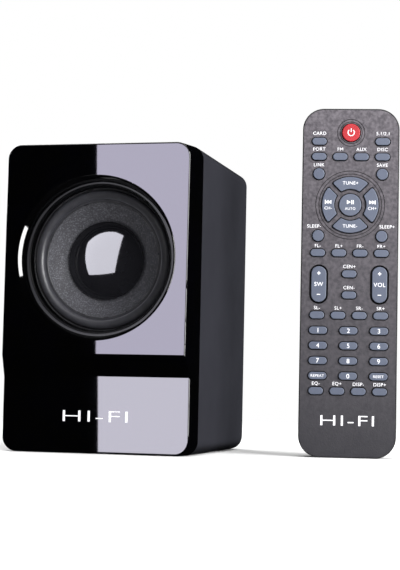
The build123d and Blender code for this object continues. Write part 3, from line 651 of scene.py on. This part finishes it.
@dataclass
class Remote:
    """The remote control: lettering on its face and keys, and the finishes of its parts.

    Attributes:
        turn: Angle about Z between its face and the speaker's, in degrees.
        length: Height of the remote as it stands, in millimetres.
        face_thick: Thickness of the face plate.
        proud: How far the keys stand out.
        face: Matrix from the face's own plane to the row's frame.
    """

    turn: float = 9.2
    length: float = 172.0
    face_thick: float = 2.0
    proud: float = 1.0
    face: Matrix = field(init=False)

    def __post_init__(self) -> None:
        """Find the plane of the face from its CAD node."""
        low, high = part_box("remote_face")
        middle = (low + high) / 2
        swing = Matrix.Rotation(math.radians(self.turn), 4, "Z")
        normal = swing @ Vector((0, -1, 0))
        front = Vector((middle.x, middle.y, 0.0)) + normal * (self.face_thick / 2 * MM)
        self.normal = normal
        self.front = front
        self.face = Matrix.Translation(front) @ swing

    def at(self, top: float) -> float:
        """Height of a line that lies the given distance below the top end."""
        return self.length - top

    def paint(self, name: str, colours: tuple[str, str, str], depth: float, grain: float, mottle: float,
              relief: float) -> bpy.types.Material:
        """A painted finish whose edge follows the face's plane.

        Args:
            name: Material name.
            colours: Main, second and low colour, sRGB hex; the low one is painted shade towards the foot.
            depth: How far in front of the face the paint ends, in millimetres.
            grain: Size of the surface grain in millimetres.
            mottle: Size of the mottling in millimetres.
            relief: Height of the grain in millimetres.

        Returns:
            The material.
        """
        limit = self.normal.dot(self.front) + depth * MM
        main, shade, low = colours
        return Painted(name, main, shade, mottle, 0.46, 0.05, grain, relief, normal=tuple(self.normal),
                       limit=limit, low=low).make()

    def face_words(self, stencil: Stencil) -> None:
        """White words above the keys, all on the face plate."""
        rows = (
            (12.3, (("CARD", -15.5), ("5.1/2.1", 15.6))),
            (20.2, (("PORT", -15.55), ("FM", -5.2), ("AUX", 5.2), ("DISC", 15.55))),
            (28.0, (("LINK", -15.5), ("SAVE", 15.5))),
            (58.5, (("SLEEP-", -17.6), ("SLEEP+", 18.2))),
            (68.2, (("FL-", -15.55), ("FL+", -5.2), ("FR-", 5.2), ("FR+", 15.55))),
            (78.3, (("CEN+", 0.0),)),
            (88.7, (("CEN-", 0.0),)),
            (98.8, (("SL-", -15.55), ("SL+", -5.2), ("SR-", 5.2), ("SR+", 15.55))),
            (136.0, (("EQ-", -15.55), ("EQ+", -5.2), ("DISP-", 5.2), ("DISP+", 15.55))),
        )
        words = [stencil.word(text, x, self.at(top), 1.7) for top, row in rows for text, x in row]
        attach(dress(joined("face_words", words), Look.INK.material), "remote")
        title = stencil.word("HI-FI", 0.0, self.at(153.8), 5.4, bold=-0.01, wide=1.75)
        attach(dress(joined("remote_title", [title]), Look.INK.material), "remote")

    def key_words(self, stencil: Stencil) -> None:
        """White words and signs on the keys, each on its own key."""
        up = self.proud
        column, row = 14.85, (109.9, 117.3, 124.7, 132.1)
        grid = ("1", "2", "3", "4", "5", "6", "7", "8", "9", "REPEAT", "0", "RESET")
        for index, text in enumerate(grid):
            node = f"digit_{text}" if text.isdigit() else f"{text.lower()}_key"
            x, z = (index % 3 - 1) * column, self.at(row[index // 3])
            word = stencil.word(text, x, z, 2.3 if text.isdigit() else 1.35, up)
            self.legend(node, [word])
        for node, name, x in (("subwoofer_rocker", "SW", -column), ("volume_rocker", "VOL", column)):
            parts = [stencil.word(name, x, self.at(87.2), 2.1, up)]
            for top, width, height in ((81.8, 1.7, 0.4), (81.8, 0.4, 1.7), (92.3, 1.7, 0.4)):
                parts.append(stencil.bar(x, self.at(top), width, height, up))
            self.legend(node, parts)
        z = self.at(46.6)
        self.legend("tune_up_key", [stencil.word("TUNE+", 0, self.at(37.1), 1.7, up)])
        self.legend("tune_down_key", [stencil.word("TUNE-", 0, self.at(58.4), 1.7, up)])
        for node, text, side, turn in (("previous_key", "CH-", -1, 180), ("next_key", "CH+", 1, 0)):
            parts = [stencil.bar(side * 12.2, z, 0.45, 2.0, up)]
            parts += [stencil.arrow(side * x, z, 1.1, turn, up) for x in (11.2, 9.8)]
            self.legend(node, [*parts, stencil.word(text, side * 10.8, self.at(49.6), 1.5, up)])
        parts = [stencil.arrow(-1.0, z, 1.2, 0, up)]
        parts += [stencil.bar(x, z, 0.45, 2.0, up) for x in (0.7, 1.5)]
        self.legend("play_key", [*parts, stencil.word("AUTO", 0, self.at(49.8), 1.3, up)])
        self.legend("power_key", stencil.power_sign(0.0, self.at(12.0), 1.55, up))

    def legend(self, node: str, parts: list[bpy.types.Object]) -> None:
        """Join the ink on one key and let it move with the key."""
        piece = dress(joined(f"{node}_print", parts), Look.INK.material)
        close_up(piece)
        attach(piece, node)

    def build(self) -> None:
        """Print the words and give the parts their finishes."""
        stencil = Stencil(self.face)
        self.face_words(stencil)
        self.key_words(stencil)
        nodes = frame["nodes"]
        # Grained grey paint: rough to the eye, and darker towards the foot, which is painted shade of light
        # from above
        face = self.paint("grained_grey_paint", ("#5d585e", "#3f3b41", "#28272c"), -0.08, 0.8, 1.7, 0.07)
        dress(nodes["remote_face"], face)
        # Paint on the key tops only, so that the black moulding outlines each key. The paint ends partway
        # round each top's rounded edge, and the black below that line is painted shade that widens the dark
        # gap round the key. The low colours darken both paints towards the foot: painted shade of light from
        # above.
        keys = self.paint("key_grey_paint", ("#515767", "#4d5363", "#494f5e"), 0.78, 0.8, 8.0, 0.006)
        red = self.paint("power_key_paint", ("#a01c26", "#96161f", "#96161f"), 0.3, 0.8, 5.0, 0.006)
        for name in frame["bodies"]:
            if name in nodes and (name.endswith(("_key", "_keys", "_rocker")) or name.startswith("digit_")):
                dress(nodes[name], red if name == "power_key" else keys)
        LOG.info("remote: lettering printed, face and keys painted")


@dataclass
class Speaker:
    """The satellite speaker's fixed parts.

    Attributes:
        title_height: Height of the word on the lower slab, in millimetres.
        title_z: Height of the word's middle above the floor.
        slab_depth: How far the lower slab stands in front of the panel's back.
    """

    title_height: float = 5.8
    title_z: float = 18.0
    slab_depth: float = 10.8

    def build(self) -> None:
        """Print the word on the lower slab."""
        low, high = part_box("front_panel")
        slab = Matrix.Translation((0.0, high.y - self.slab_depth * MM, 0.0))
        title = Stencil(slab).word("HI-FI", 0.3, self.title_z, self.title_height, bold=-0.014, wide=2.05)
        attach(dress(joined("speaker_title", [title]), Look.INK.material), "speaker")
        LOG.info("speaker: title printed")


PLAIN_NODES = {
    Look.CABINET: ("cabinet_shell",),
    Look.GLOSS: ("front_panel",),
    Look.TRIM: ("driver_trim_ring",),
    Look.BASKET: ("driver_basket",),
    Look.IRON: ("magnet_front_plate", "magnet_yoke"),
    Look.FERRITE: ("ferrite_magnet",),
    Look.CONE: ("cone",),
    Look.CAP: ("dust_cap",),
    Look.COIL: ("voice_coil",),
    Look.SCREW: ("assembly_screws",),
    Look.CUP: ("terminal_cup",),
    Look.RED_LEVER: ("terminal_lever_red",),
    Look.BLACK_LEVER: ("terminal_lever_black",),
    Look.CASE: ("remote_case", "battery_cover"),
    Look.CELL: ("batteries",),
    Look.NICKEL: ("battery_contacts",),
    Look.BOARD: ("circuit_board",),
    Look.WINDOW: ("infrared_window",),
    Look.MAT: ("key_mat",),
}


# ------------------------------------------------------------------ studio


@dataclass(frozen=True)
class SoftBox:
    """A rectangular soft box.

    Attributes:
        name: Name of the soft box.
        place: Its middle, in millimetres.
        target: The point it faces, in millimetres.
        size: Width and height in millimetres.
        glow: Brightness of its face.
        parts: The parts that it shows in as a reflection, or none for a box that lights everything.
        colour: Its colour, sRGB hex.
        lean: Turn about its own axis in degrees.
        spared: The parts that it doesn't light, where parts is empty.
        matt: Whether it lights its parts without showing in them.
    """

    name: str
    place: Sequence[float]
    target: Sequence[float]
    size: Point
    glow: float
    parts: Sequence[str] = ()
    colour: str = "#ffffff"
    lean: float = 0.0
    spared: Sequence[str] = ()
    matt: bool = False

    def make(self) -> None:
        """Add the lamp and say which parts it lights."""
        data = bpy.data.lights.new(self.name, "AREA")
        data.shape, data.size, data.size_y = "RECTANGLE", self.size[0] * MM, self.size[1] * MM
        data.energy = 4 * self.glow * data.size * data.size_y
        data.color = linear(self.colour)[:3]
        lamp = bpy.data.objects.new(self.name, data)
        bpy.context.scene.collection.objects.link(lamp)
        spot = Vector(self.place) * MM
        turn = (Vector(self.target) * MM - spot).to_track_quat("-Z", "Y").to_matrix().to_4x4()
        lean = Matrix.Rotation(math.radians(self.lean), 4, "Z")
        lamp.matrix_world = Matrix.Translation(spot) @ turn @ lean
        lamp.visible_camera = False
        lamp.visible_diffuse, lamp.visible_glossy = self.matt or not self.parts, not self.matt
        seen = bpy.data.collections.new(f"{self.name}_receivers")
        for part in (*self.parts, *self.spared):
            seen.objects.link(frame["nodes"][part])
        for link in seen.collection_objects:
            link.light_linking.link_state = "INCLUDE" if self.parts else "EXCLUDE"
        lamp.light_linking.receiver_collection = seen


SHINY = ("dust_cap", "driver_trim_ring")
MIDDLE = (50, 0, 80)
SIDE = (1200, -650, 400)
OVERHEAD = ((-565, -250, 1090), (-565, -250, 0), (1270, 90))
SOFT_BOXES = (
    SoftBox("front_soft_box", (500, -1100, 900), MIDDLE, (900, 900), 1.8, spared=SHINY),
    SoftBox("side_soft_box", SIDE, MIDDLE, (900, 900), 12.5, spared=(*SHINY, "cabinet_shell")),
    # The same light on the cabinet, without a glare on its top
    SoftBox("cabinet_side_box", SIDE, MIDDLE, (900, 900), 12.5, ("cabinet_shell",), matt=True),
    SoftBox("top_soft_box", (0, 0, 1300), MIDDLE, (1200, 1200), 1.8, spared=SHINY),
    SoftBox("rear_soft_box", (-900, 1000, 700), MIDDLE, (900, 900), 5.0, spared=SHINY),
    # The pale surroundings behind, which the satin side shows at a grazing angle
    SoftBox("background_box", (750, 1500, 250), (48, 50, 75), (1300, 1500), 0.18, ("cabinet_shell",),
            "#e6e9ff"),
    # What the glossy front mirrors: a box whose edge falls down the middle, brighter low down
    SoftBox("panel_high_box", (-52.4, -900, 300), (-52.4, 0, 300), (450, 440), 10.0, ("front_panel",),
            "#ebe6ff", lean=1.6),
    SoftBox("panel_low_box", (-45.7, -900, -10), (-45.7, 0, -10), (450, 140), 11.8, ("front_panel",),
            "#f1eeff", lean=1.6),
    # What the dust cap and the trim ring mirror
    SoftBox("cap_box", (-341, -940, 432), (0, -46, 97), (1300, 1800), 12.4, ("dust_cap",), "#f4f3ff"),
    SoftBox("overhead_strip", *OVERHEAD, 16.0, ("dust_cap",)),
    SoftBox("funnel_strip", *OVERHEAD, 2.0, ("driver_trim_ring",)),
    SoftBox("funnel_box", (500, -170, 82), (-38, -57, 82), (360, 460), 20.0, ("driver_trim_ring",)),
)


@dataclass
class Studio:
    """Floor, surroundings and camera of a plain studio.

    Attributes:
        eye: Place of the camera in metres.
        yaw: How far the view is turned to the left of +Y, in degrees.
        pitch: How far it looks up.
        roll: How far the camera leans to its right.
        lens: Focal length in millimetres, on a sensor with a long side of 36 mm.
    """

    eye: Vector = field(default_factory=lambda: Vector((0.22328, -0.74071, 0.03321)))
    yaw: float = 14.067
    pitch: float = 3.89
    roll: float = 1.2
    lens: float = 94.53

    def camera(self) -> None:
        """Make the camera."""
        yaw, pitch, roll = (math.radians(angle) for angle in (self.yaw, self.pitch, self.roll))
        ahead = Vector((-math.sin(yaw) * math.cos(pitch), math.cos(yaw) * math.cos(pitch), math.sin(pitch)))
        level = Vector((math.cos(yaw), math.sin(yaw), 0.0))
        over = level.cross(ahead)
        right = level * math.cos(roll) + over * math.sin(roll)
        up = over * math.cos(roll) - level * math.sin(roll)
        data = bpy.data.cameras.new("camera")
        data.lens, data.sensor_width = self.lens, 36.0
        data.clip_start, data.clip_end = 0.01, 50.0
        camera = bpy.data.objects.new("camera", data)
        bpy.context.scene.collection.objects.link(camera)
        turn = Matrix((right, up, -ahead)).transposed().to_4x4()
        camera.matrix_world = Matrix.Translation(self.eye) @ turn
        bpy.context.scene.camera = camera

    def floor(self) -> None:
        """A white floor that fades into the white surroundings."""
        activate()
        bpy.ops.mesh.primitive_circle_add(vertices=96, radius=12.0, fill_type="NGON", location=(0, 0, 0))
        floor = bpy.context.object
        floor.name = "studio_floor"
        material = bpy.data.materials.new("white_floor")
        material.use_nodes = True
        tree = material.node_tree
        tree.nodes.clear()
        place = (add_node(tree, "ShaderNodeTexCoord"), "Object")
        reach = add_node(tree, "ShaderNodeVectorMath", {0: place}, operation="LENGTH")
        span = {"Value": (reach, "Value"), "From Min": 0.22, "From Max": 0.75}
        fade = add_node(tree, "ShaderNodeMapRange", span, interpolation_type="SMOOTHSTEP")
        near = add_node(tree, "ShaderNodeBsdfDiffuse", {"Color": (0.9, 0.9, 0.9, 1.0)})
        far = add_node(tree, "ShaderNodeEmission", {"Color": (1.0, 1.0, 1.0, 1.0), "Strength": 1.0})
        layers = {0: (fade, "Result"), 1: (near, "BSDF"), 2: (far, "Emission")}
        mix = add_node(tree, "ShaderNodeMixShader", layers)
        add_node(tree, "ShaderNodeOutputMaterial", {"Surface": (mix, "Shader")})
        dress(floor, material)
        floor.visible_glossy = False

    def world(self) -> None:
        """White surroundings for the camera, dim for everything else."""
        world = bpy.data.worlds.new("studio")
        bpy.context.scene.world = world
        world.use_nodes = True
        tree = world.node_tree
        tree.nodes.clear()
        path = add_node(tree, "ShaderNodeLightPath")
        glow = {0: (path, "Is Glossy Ray"), 2: 0.34, 3: 0.004}
        dim = add_node(tree, "ShaderNodeMix", glow, data_type="FLOAT")
        seen = {0: (path, "Is Camera Ray"), 2: (dim, 0), 3: 1.0}
        power = add_node(tree, "ShaderNodeMix", seen, data_type="FLOAT")
        back = add_node(tree, "ShaderNodeBackground", {"Color": (1.0, 1.0, 1.0, 1.0), "Strength": (power, 0)})
        add_node(tree, "ShaderNodeOutputWorld", {"Surface": (back, "Background")})

    def build(self) -> None:
        """Set up the whole studio."""
        self.camera()
        self.floor()
        self.world()
        for box in SOFT_BOXES:
            box.make()
        bpy.context.scene.view_settings.view_transform = "Standard"
        LOG.info("studio: camera, floor, surroundings and %d soft boxes set up", len(SOFT_BOXES))


def main() -> None:
    """Build every part of the scene in order."""
    logging.basicConfig(level=logging.INFO, format="%(name)s: %(message)s")
    for look, names in PLAIN_NODES.items():
        for name in names:
            dress(frame["nodes"][name], look.material)
    LOG.info("plain finishes set on %d nodes", sum(map(len, PLAIN_NODES.values())))
    low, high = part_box("driver_trim_ring")
    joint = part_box("cabinet_shell")[0].y
    Driver(Vector(((low.x + high.x) / 2, joint, (low.z + high.z) / 2))).build()
    Speaker().build()
    Remote().build()
    Studio().build()
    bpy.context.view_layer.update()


if __name__ == "__main__":
    main()
